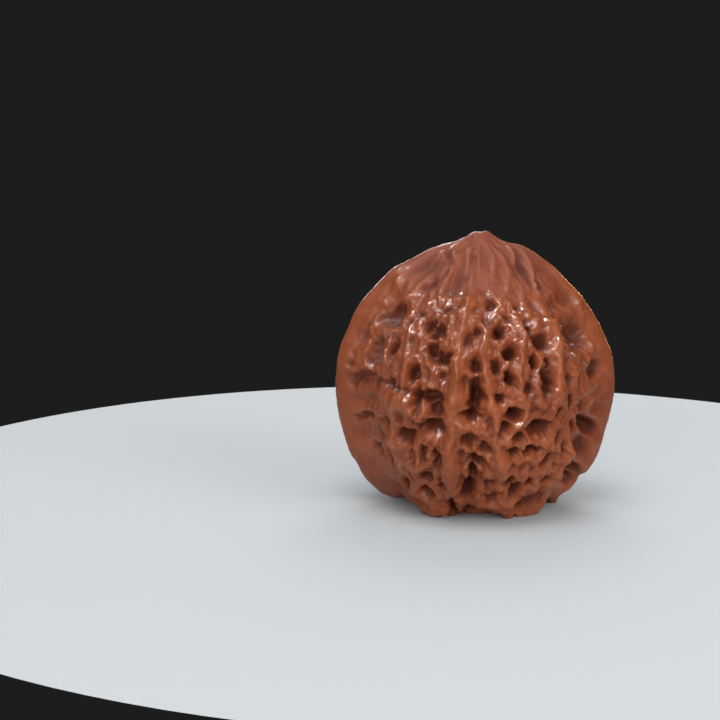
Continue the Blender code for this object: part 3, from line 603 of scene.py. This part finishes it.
        # Pleats and folds of the cap, bumps, creases and the seam
        stripes = np.sin(np.radians((turn + 16 * lump) * 23.0)) * ramp(fall, 5, 12) * (1 - ramp(fall, 24, 36))
        cap = ramp(fall, 4, 12) * (1 - ramp(fall - arch, 30, 46))
        height += STRIPE_MM * stripes + cap * CAP_FOLD_MM * (1 - 3 * np.abs(fan))
        height += BUMP_MM * bump * belly * (1 - 0.7 * fill)
        height += FOLD_MM * fold * (1 - cap) * ramp(edge, 1, 12)
        height -= (CREASE_MM * np.exp(-(crease / 0.08) ** 2) * (0.3 + 0.7 * belly) * (1 - cap)
                   * (1 - 0.6 * fill))
        seam = np.exp(-(edge / SEAM_HALF_DEG) ** 2) * (1 - ramp(fall, 150, 158)) * ramp(fall, 3, 9)
        height -= SEAM_MM * seam

        # What the finish and the fine wrinkles read
        # How dark pits and dimples are: partly the shell's own darker pits, partly painted shade
        deep = np.clip(pits * (1 - 0.8 * fill) / (1.4 + 1.2 * belly), 0, 1)
        deep = np.maximum(deep, np.clip(1.1 * dimples * (1 - 0.8 * cap), 0, 1))
        # How much painted light the raised parts get
        crest = np.clip(0.35 + 0.45 * (height - 0.1) + 0.25 * fill, 0, 1)
        cap = 1 - ramp(fall + 5 * lump, 30, 44)
        rim = (1 - ramp(edge, 2, 15)) * ramp(fall, 8, 30)
        calm = np.clip(1 - ramp(edge, 8, 30) * ramp(fall, 20, 45) * 0.9, 0, 1)
        calm = np.maximum(calm, 0.9 * np.clip(fill * 1.6, 0, 1))
        polish = ramp(fall - arch, 31, 38) * (1 - ramp(fall - arch, 46, 64)) * ramp(edge, 12, 30)
        polish *= 1 - 0.6 * fill
        height *= 1 - 0.6 * (1 - ramp(edge, 1, 8)) * ramp(fall, 10, 20) * (1 - ramp(fall, 128, 140))
        return {"height": height, "depth": deep, "crest": crest, "cap": cap, "rim": rim, "calm": calm,
                "polish": polish}


@dataclass(frozen=True)
class ShellFinish:
    """Colours and gloss of an oiled, handled walnut shell, with painted light on crests and painted shade in
    pits, creases and hollows. Colours are linear.
    """

    slot: str = "nut_shell"
    body: tuple = (0.212, 0.050, 0.017, 1.0)
    # Lighter colour for raised parts and crest lines: painted light
    crest: tuple = (0.245, 0.064, 0.022, 1.0)
    # Darker colour for pits, creases and hollows: partly the shell's own darker pits, partly painted shade
    pit: tuple = (0.098, 0.023, 0.012, 1.0)
    cap: tuple = (0.176, 0.037, 0.012, 1.0)
    rim: tuple = (0.195, 0.045, 0.014, 1.0)
    specular: float = 0.27
    coat_rough: float = 0.13
    coat_ior: float = 1.48
    grain_strength: float = 0.5
    grain_mm: float = 0.16

    def material(self) -> bpy.types.Material:
        """Builds the polished shell material.

        Returns:
            The material.
        """
        mat = bpy.data.materials.new("polished_shell")
        mat.use_nodes = True
        w = Wiring(mat.node_tree)
        tone = w.add("ShaderNodeGroup", node_tree=shell_tone_group())
        for name, colour in (("Body", self.body), ("Lit Crest", self.crest), ("Pit And Shade", self.pit),
                             ("Cap", self.cap), ("Rim", self.rim)):
            w.feed(tone.inputs[name], colour)
        for name, field in (("Depth", "depth"), ("Height", "crest"), ("Cap Share", "cap"),
                            ("Rim Share", "rim"), ("Edge", "edge"), ("Hollow", "hollow"),
                            ("Shoulder", "polish")):
            reader = w.add("ShaderNodeAttribute", attribute_name=field)
            w.feed(tone.inputs[name], reader.outputs["Fac"])
        grain = w.add("ShaderNodeGroup", node_tree=shell_grain_group())
        strands = w.add("ShaderNodeAttribute", attribute_name="along_shell")
        w.feed(grain.inputs["Along"], strands.outputs["Vector"])
        bump = w.add("ShaderNodeBump", {
            "Strength": self.grain_strength, "Distance": self.grain_mm * MM,
            "Height": grain.outputs["Height"]})
        shader = mat.node_tree.nodes["Principled BSDF"]
        for name, value in (
                ("Normal", bump.outputs["Normal"]), ("Base Color", tone.outputs["Color"]),
                ("Roughness", tone.outputs["Roughness"]), ("Coat Weight", tone.outputs["Polish"]),
                ("Specular IOR Level", self.specular), ("Coat Roughness", self.coat_rough),
                ("Coat IOR", self.coat_ior)):
            w.feed(shader.inputs[name], value)
        return mat


def socket(group: bpy.types.NodeTree, name: str, kind: str, out: bool = False) -> None:
    """Adds a named socket to a group.

    Args:
        group: The node group.
        name: The socket's name.
        kind: Its type, such as Float, Color or Vector.
        out: True for an output.
    """
    group.interface.new_socket(
        name=name, in_out="OUTPUT" if out else "INPUT", socket_type="NodeSocket" + kind)


class Wiring:
    """Short ways to add and join nodes in one tree."""

    def __init__(self, tree: bpy.types.NodeTree) -> None:
        """Keeps the tree.

        Args:
            tree: The node tree to add to.
        """
        self.tree = tree

    def add(self, kind: str, inputs: dict | None = None, **settings: object) -> bpy.types.Node:
        """Adds a node.

        Args:
            kind: The node's Blender type.
            inputs: What goes into its sockets.
            **settings: Properties to set on it first.

        Returns:
            The node.
        """
        node = self.tree.nodes.new(kind)
        for name, value in settings.items():
            setattr(node, name, value)
        for name, value in (inputs or {}).items():
            self.feed(node.inputs[name], value)
        return node

    def feed(self, target: bpy.types.NodeSocket, source: object) -> None:
        """Links a socket into target, or sets target to a plain value.

        Args:
            target: The input socket.
            source: An output socket or a value.
        """
        if isinstance(source, bpy.types.NodeSocket):
            self.tree.links.new(source, target)
        else:
            target.default_value = source

    def math(self, operation: str, *values: object) -> bpy.types.NodeSocket:
        """Adds a Math node.

        Args:
            operation: What it does.
            *values: Its inputs, sockets or numbers.

        Returns:
            Its output.
        """
        return self.add("ShaderNodeMath", dict(enumerate(values)), operation=operation).outputs[0]

    def span(self, value: object, low: float, high: float, to_low: float,
             to_high: float) -> bpy.types.NodeSocket:
        """Maps a range smoothly on to another.

        Args:
            value: What to map.
            low: Start of the range.
            high: End of the range.
            to_low: Result at the start.
            to_high: Result at the end.

        Returns:
            The mapped value.
        """
        sockets = {"Value": value, "From Min": low, "From Max": high, "To Min": to_low, "To Max": to_high}
        return self.add("ShaderNodeMapRange", sockets, interpolation_type="SMOOTHSTEP").outputs["Result"]

    def noise(self, vector: object, scale: float, detail: float, rough: float) -> bpy.types.NodeSocket:
        """Adds a Noise Texture.

        Args:
            vector: Where it is read.
            scale: Its scale.
            detail: Its detail.
            rough: Its roughness.

        Returns:
            Its grey value.
        """
        sockets = {"Vector": vector, "Scale": scale, "Detail": detail, "Roughness": rough}
        return self.add("ShaderNodeTexNoise", sockets).outputs["Fac"]

    def blend(self, share: object, low: object, high: object, way: str = "MIX") -> bpy.types.NodeSocket:
        """Mixes two colours.

        Args:
            share: How much of the second.
            low: The first colour.
            high: The second colour.
            way: Blend type.

        Returns:
            The mixed colour.
        """
        return self.add("ShaderNodeMix", {0: share, 6: low, 7: high}, data_type="RGBA", blend_type=way,
                        clamp_factor=True).outputs[2]


def shell_tone_group() -> bpy.types.NodeTree:
    """Colour, roughness and polish of the shell from its relief, with painted light on crests and painted
    shade in pits, creases and hollows.

    Returns:
        The shader node group.
    """
    group = bpy.data.node_groups.new("walnut_tone", "ShaderNodeTree")
    for name in ("Body", "Lit Crest", "Pit And Shade", "Cap", "Rim"):
        socket(group, name, "Color")
    for name in ("Depth", "Height", "Cap Share", "Rim Share", "Edge", "Hollow", "Shoulder"):
        socket(group, name, "Float")
    for name, kind in (("Color", "Color"), ("Roughness", "Float"), ("Polish", "Float")):
        socket(group, name, kind, out=True)
    w = Wiring(group)
    given = w.add("NodeGroupInput").outputs
    result = w.add("NodeGroupOutput").inputs
    place = w.add("ShaderNodeTexCoord").outputs["Object"]
    cloud = w.noise(place, CLOUD_SCALE, 3.0, 0.55)
    fleck = w.noise(place, FLECK_SCALE, 3.0, 0.6)
    rising = w.math("ADD", given["Height"], w.span(fleck, 0.3, 0.7, -0.12, 0.12))
    colour = given["Body"]
    # Lighter on raised parts and crest lines: painted light. Darker in creases and broad hollows: painted
    # shade. Darker in pits: partly their own tone, partly painted shade.
    for share, tint in (
            (w.span(rising, 0.35, 0.95, 0.0, 1.0), "Lit Crest"), (given["Cap Share"], "Cap"),
            (w.math("MULTIPLY", given["Rim Share"], 0.75), "Rim"),
            (w.span(given["Edge"], 0.0, 0.35, 0.0, 0.45), "Lit Crest"),
            (w.span(given["Edge"], -0.36, -0.01, 0.72, 0.0), "Pit And Shade"),
            (w.span(given["Hollow"], -0.85, 0.05, 0.8, 0.0), "Pit And Shade"),
            (w.span(given["Depth"], 0.2, 1.0, 0.0, 0.36), "Pit And Shade")):
        colour = w.blend(share, colour, given[tint])
    for pattern, ranges in ((cloud, ((0.84, 1.14), (0.80, 1.17), (0.78, 1.20))),
                            (fleck, ((0.93, 1.06), (0.91, 1.08), (0.90, 1.09)))):
        shade = w.add("ShaderNodeCombineColor", {
            channel: w.span(pattern, 0.3, 0.7, low, high)
            for channel, (low, high) in zip(("Red", "Green", "Blue"), ranges)})
        colour = w.blend(1.0, colour, shade.outputs["Color"], "MULTIPLY")
    w.feed(result["Color"], colour)
    rough = w.math("ADD", w.span(given["Edge"], -0.2, 0.2, 0.56, 0.34), w.span(fleck, 0.3, 0.7, -0.05, 0.07))
    w.feed(result["Roughness"], w.math("ADD", rough, w.math("MULTIPLY", given["Cap Share"], 0.3)))
    bare = w.math("SUBTRACT", 1.0, given["Cap Share"])
    plain = w.math("MULTIPLY", w.span(cloud, 0.3, 0.7, 0.04, 0.14), bare)
    bright = w.math("ADD", w.math("MULTIPLY", given["Shoulder"], 0.9), plain)
    shown = w.math("MULTIPLY", w.span(given["Depth"], 0.2, 0.9, 1.0, 0.1),
                   w.span(given["Hollow"], -0.6, 0.0, 0.1, 1.0))
    w.feed(result["Polish"], w.math("MULTIPLY", shown, bright))
    return group


def shell_grain_group() -> bpy.types.NodeTree:
    """Fine wrinkles, fibres and pores as one height.

    Returns:
        The shader node group.
    """
    group = bpy.data.node_groups.new("walnut_grain", "ShaderNodeTree")
    socket(group, "Along", "Vector")
    socket(group, "Height", "Float", out=True)
    w = Wiring(group)
    given = w.add("NodeGroupInput").outputs
    result = w.add("NodeGroupOutput").inputs
    place = w.add("ShaderNodeTexCoord").outputs["Object"]
    wrinkle = w.noise(place, WRINKLE_SCALE, 4.0, 0.6)
    fibre = w.noise(given["Along"], 1.0, 3.0, 0.55)
    pore = w.add("ShaderNodeTexVoronoi", {"Scale": PORE_SCALE, "Vector": place}, feature="F1")
    hole = w.span(pore.outputs["Distance"], 0.0, 0.22, -0.5, 0.0)
    total = w.math("ADD", w.math("MULTIPLY", wrinkle, 0.7), w.math("MULTIPLY", fibre, 0.6))
    w.feed(result["Height"], w.math("ADD", total, hole))
    return group


@dataclass
class Shell:
    """The walnut's shell: its form, its relief and its finish."""

    form: RoundForm
    relief: Relief
    finish: ShellFinish
    steps: int = 8
    triangles: int = 190000
    fine_mm: float = 0.34
    stria_mm: float = 0.26
    seed: int = 4
    lumps: tuple = ((430.0, 0.45), (950.0, 0.4), (1900.0, 0.22))
    lump_gain: float = 6.0
    lump_middle: float = 0.6
    stria_scale: float = 0.55
    strands_across: float = 26.0
    strands_down: float = 0.055
    edge_blur: int = 26
    hollow_blur: int = 420

    def base_ball(self) -> bpy.types.Object:
        """The round form as a mesh that carries the relief as fields.

        Returns:
            The ball, not yet raised.
        """
        mesh = bpy.data.meshes.new("walnut_skin")
        bm = bmesh.new()
        bmesh.ops.create_icosphere(bm, subdivisions=self.steps, radius=1.0)
        unit = np.array([tuple(v.co.normalized()) for v in bm.verts])
        fall = np.degrees(np.arccos(np.clip(unit[:, 2], -1, 1)))
        turn = np.degrees(np.arctan2(unit[:, 0], -unit[:, 1]))
        spots = unit * self.form.reach(turn, fall)[:, None]
        for v, spot in zip(bm.verts, spots):
            v.co = spot
        bm.normal_update()
        way = np.array([tuple(v.normal) for v in bm.verts])
        for v in bm.verts:
            v.co = v.co * MM
        bm.to_mesh(mesh)
        bm.free()
        fields = self.relief.height(turn, fall, unit)
        way = way * (SIDEWAYS, 1.0, SIDEWAYS)
        way /= np.linalg.norm(way, axis=1)[:, None]
        way[:, 2] -= DROOP * ramp(fall, 72, 108) * (1 - ramp(fall, 122, 150))
        raised = spots + way * fields["height"][:, None]
        middle = (raised[:, :2].min(axis=0) + raised[:, :2].max(axis=0)) / 2
        self.shift = (-middle[0] * MM, -middle[1] * MM, MIDDLE_HEIGHT_MM * MM)
        self.store(mesh, "way", way, "FLOAT_VECTOR", "vector")
        strands = np.stack([np.sin(np.radians(turn)) * self.strands_across,
                            np.cos(np.radians(turn)) * self.strands_across, fall * self.strands_down], -1)
        self.store(mesh, "along_shell", strands, "FLOAT_VECTOR", "vector")
        for name in ("height", "depth", "crest", "cap", "rim", "calm", "polish"):
            self.store(mesh, name, fields[name], "FLOAT", "value")
        skin = bpy.data.objects.new("walnut_skin", mesh)
        bpy.context.scene.collection.objects.link(skin)
        return skin

    @staticmethod
    def store(mesh: bpy.types.Mesh, name: str, values: np.ndarray, kind: str, part: str) -> None:
        """Keeps a field on the mesh's points.

        Args:
            mesh: The mesh.
            name: The field's name.
            values: One value a point.
            kind: Blender's data type.
            part: Blender's name for the value.
        """
        field = mesh.attributes.new(name, kind, "POINT")
        field.data.foreach_set(part, np.asarray(values, np.float32).ravel())

    def raise_tree(self) -> bpy.types.NodeTree:
        """Geometry nodes that raise the relief and add the fine wrinkles.

        Returns:
            The tree.
        """
        tree = bpy.data.node_groups.new("raise_shell", "GeometryNodeTree")
        socket(tree, "Geometry", "Geometry")
        for name in ("Relief Scale", "Wrinkle Height", "Stria Height", "Seed"):
            socket(tree, name, "Float")
        socket(tree, "Shift", "Vector")
        socket(tree, "Material", "Material")
        socket(tree, "Geometry", "Geometry", out=True)
        w = Wiring(tree)
        given = w.add("NodeGroupInput").outputs
        result = w.add("NodeGroupOutput").inputs

        def read(name: str, kind: str = "FLOAT") -> bpy.types.NodeSocket:
            """Reads a field of the mesh."""
            node = w.add("GeometryNodeInputNamedAttribute", {"Name": name}, data_type=kind)
            return node.outputs["Attribute"]

        def push(direction: object, size: object) -> bpy.types.NodeSocket:
            """Scales a direction."""
            node = w.add("ShaderNodeVectorMath", {0: direction, "Scale": size}, operation="SCALE")
            return node.outputs["Vector"]

        def blur(value: object, steps: int) -> bpy.types.NodeSocket:
            """Evens a value out over its neighbours."""
            sockets = {"Iterations": steps, "Value": value}
            return w.add("GeometryNodeBlurAttribute", sockets, data_type="FLOAT").outputs[0]

        def step(kind: str, shape: object, inputs: dict, **settings: object) -> bpy.types.NodeSocket:
            """Passes the shape through a node."""
            return w.add(kind, {"Geometry": shape, **inputs}, **settings).outputs["Geometry"]

        def keep(shape: object, name: str, value: object) -> bpy.types.NodeSocket:
            """Stores a value on the points."""
            return step("GeometryNodeStoreNamedAttribute", shape, {"Name": name, "Value": value},
                        data_type="FLOAT", domain="POINT")

        def scaled(value: object) -> bpy.types.NodeSocket:
            """Turns metres back into the relief's unit."""
            return w.math("DIVIDE", value, given["Relief Scale"])

        position = w.add("GeometryNodeInputPosition").outputs["Position"]
        lumps = []
        for scale, size in self.lumps:
            wrinkle = w.add("ShaderNodeTexNoise", {
                "Scale": scale, "Detail": 0.0, "Distortion": 0.6, "Vector": position,
                "W": given["Seed"]}, noise_dimensions="4D")
            away = w.math("ABSOLUTE", w.math("SUBTRACT", wrinkle.outputs["Fac"], 0.5))
            crest = w.math("MINIMUM", w.math("MULTIPLY", away, self.lump_gain), 1.0)
            lumps.append(w.math("MULTIPLY", crest, size))
        stria = w.add("ShaderNodeTexNoise", {
            "Scale": self.stria_scale, "Detail": 2.0, "Vector": read("along_shell", "FLOAT_VECTOR"),
            "W": given["Seed"]}, noise_dimensions="4D")
        lively = w.math("SUBTRACT", 1.0, w.math("MULTIPLY", read("calm"), 0.8))
        lumpy = w.math("ADD", w.math("ADD", lumps[0], lumps[1]), lumps[2])
        lumpy = w.math("SUBTRACT", lumpy, self.lump_middle)
        small = w.math("MULTIPLY", w.math("MULTIPLY", lumpy, lively), given["Wrinkle Height"])
        thread = w.math("MULTIPLY", w.math("SUBTRACT", stria.outputs["Fac"], 0.5), given["Stria Height"])
        shape = keep(given["Geometry"], "small", w.math("ADD", small, thread))
        even = blur(read("height"), SMOOTH_STEPS)
        shape = keep(shape, "raised", w.math("MULTIPLY", even, given["Relief Scale"]))
        total = w.math("ADD", read("raised"), read("small"))
        # Curvature and broad hollowness, which the finish turns into painted light on crests and painted
        # shade in creases and hollows
        shape = keep(shape, "edge", scaled(w.math("SUBTRACT", total, blur(total, self.edge_blur))))
        around = blur(read("raised"), self.hollow_blur)
        shape = keep(shape, "hollow", scaled(w.math("SUBTRACT", read("raised"), around)))
        way = push(read("way", "FLOAT_VECTOR"), read("raised"))
        shape = step("GeometryNodeSetPosition", shape, {"Offset": way})
        facing = w.add("GeometryNodeInputNormal").outputs["Normal"]
        shape = step("GeometryNodeSetPosition", shape, {"Offset": push(facing, read("small"))})
        shape = step("GeometryNodeTransform", shape, {"Translation": given["Shift"]})
        here = w.add("ShaderNodeSeparateXYZ", {0: position}).outputs
        level = w.add("ShaderNodeCombineXYZ", {
            "X": here["X"], "Y": here["Y"], "Z": w.math("MAXIMUM", here["Z"], 0.0)})
        shape = step("GeometryNodeSetPosition", shape, {"Position": level.outputs["Vector"]})
        shape = step("GeometryNodeRealizeInstances", shape, {})
        shape = step("GeometryNodeSetMaterial", shape, {"Material": given["Material"]})
        w.feed(result["Geometry"], shape)
        return tree

    def build(self) -> bpy.types.Object:
        """Makes the finished shell.

        Returns:
            The shell, a plain mesh at its place.
        """
        skin = self.base_ball()
        raiser = skin.modifiers.new("raise", "NODES")
        raiser.node_group = self.raise_tree()
        values = {
            "Relief Scale": MM, "Wrinkle Height": self.fine_mm * MM, "Stria Height": self.stria_mm * MM * 2,
            "Seed": float(self.seed), "Shift": self.shift, "Material": self.finish.material()}
        for item in raiser.node_group.interface.items_tree:
            if item.in_out == "INPUT" and item.name in values:
                raiser[item.identifier] = values[item.name]
        slim = skin.modifiers.new("slim", "DECIMATE")
        slim.ratio = self.triangles / len(skin.data.polygons)
        bpy.context.view_layer.update()
        seen = skin.evaluated_get(bpy.context.evaluated_depsgraph_get())
        mesh = bpy.data.meshes.new_from_object(seen, preserve_all_data_layers=True,
                                               depsgraph=bpy.context.evaluated_depsgraph_get())
        skin.modifiers.clear()
        bpy.data.objects.remove(skin)
        mesh.name = "walnut"
        for v in mesh.vertices:
            v.co.z = max(v.co.z, 0.0)
        shell = bpy.data.objects.new("walnut", mesh)
        bpy.context.scene.collection.objects.link(shell)
        mesh.polygons.foreach_set("use_smooth", [True] * len(mesh.polygons))
        mesh.update()
        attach(shell, "root")
        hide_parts("walnut_shell")
        LOG.info("shell: %d triangles", len(mesh.polygons))
        return shell


@dataclass
class Studio:
    """Plain pale floor, soft lights and the camera."""

    floor_radius: float = 0.098
    floor_colour: tuple = (0.455, 0.485, 0.505, 1.0)
    around: tuple = (0.012, 0.012, 0.012, 1.0)
    dome: tuple = (0.50, 0.50, 0.50, 1.0)
    aim: tuple = (0.0, 0.0, 0.02)
    eye: tuple = (-0.0174, -0.268, 0.0667)
    lens_mm: float = 90.0
    sensor_mm: float = 36.0
    shift_up: float = 0.0289
    pitch_deg: float = 10.19
    roll_deg: float = -0.53

    def floor(self) -> bpy.types.Object:
        """A round pale floor, level with the nut's feet.

        Returns:
            The floor.
        """
        mesh = bpy.data.meshes.new("floor")
        bm = bmesh.new()
        bmesh.ops.create_circle(bm, cap_ends=True, segments=128, radius=self.floor_radius)
        bm.to_mesh(mesh)
        bm.free()
        floor = bpy.data.objects.new("floor", mesh)
        bpy.context.scene.collection.objects.link(floor)
        mat = bpy.data.materials.new("floor_pale")
        mat.use_nodes = True
        shader = mat.node_tree.nodes["Principled BSDF"]
        shader.inputs["Base Color"].default_value = self.floor_colour
        shader.inputs["Roughness"].default_value = 0.75
        shader.inputs["Specular IOR Level"].default_value = 0.0
        mesh.materials.append(mat)
        return floor

    def lamp(self, light: Light) -> None:
        """Adds a lamp that faces the nut.

        Args:
            light: The lamp.
        """
        data = bpy.data.lights.new(light.lamp.value, "AREA")
        data.size = light.side
        data.energy = light.power
        data.color = light.colour
        body = bpy.data.objects.new(light.lamp.value, data)
        bpy.context.scene.collection.objects.link(body)
        body.location = light.place
        body.visible_glossy = light.share is Share.GLOSS
        body.visible_diffuse = light.share is Share.MATTE
        facing = Vector(self.aim) - Vector(light.place)
        body.rotation_euler = facing.to_track_quat("-Z", "Y").to_euler()

    def world(self) -> bpy.types.World:
        """A dark room whose soft light reaches matte surfaces from all sides.

        Returns:
            The world.
        """
        world = bpy.data.worlds.new("studio")
        world.use_nodes = True
        nodes, links = world.node_tree.nodes, world.node_tree.links
        room = nodes["Background"]
        room.inputs["Color"].default_value = self.around
        dome = nodes.new("ShaderNodeBackground")
        dome.inputs["Color"].default_value = self.dome
        rays = nodes.new("ShaderNodeLightPath")
        pick = nodes.new("ShaderNodeMixShader")
        links.new(rays.outputs["Is Diffuse Ray"], pick.inputs[0])
        links.new(room.outputs["Background"], pick.inputs[1])
        links.new(dome.outputs["Background"], pick.inputs[2])
        links.new(pick.outputs["Shader"], nodes["World Output"].inputs["Surface"])
        return world

    def camera(self) -> None:
        """Sets the camera at the photograph's height and angle."""
        data = bpy.data.cameras.new("camera")
        data.lens = self.lens_mm
        data.sensor_width = self.sensor_mm
        data.shift_y = self.shift_up
        data.clip_start = 0.01
        camera = bpy.data.objects.new("camera", data)
        bpy.context.scene.collection.objects.link(camera)
        pitch, roll = math.radians(self.pitch_deg), math.radians(self.roll_deg)
        turned = Matrix.Rotation(math.radians(90) - pitch, 4, "X") @ Matrix.Rotation(-roll, 4, "Z")
        camera.location = self.eye
        camera.rotation_euler = turned.to_euler()
        bpy.context.scene.camera = camera

    def build(self) -> None:
        """Sets up the whole studio."""
        self.floor()
        bpy.context.scene.world = self.world()
        for light in LIGHTS:
            self.lamp(light)
        bpy.context.scene.view_settings.view_transform = "Standard"
        self.camera()


def main() -> None:
    """Builds the walnut and its studio."""
    logging.basicConfig(level=logging.INFO)
    Shell(RoundForm(), Relief(), ShellFinish()).build()
    Studio().build()


if __name__ == "__main__":
    main()
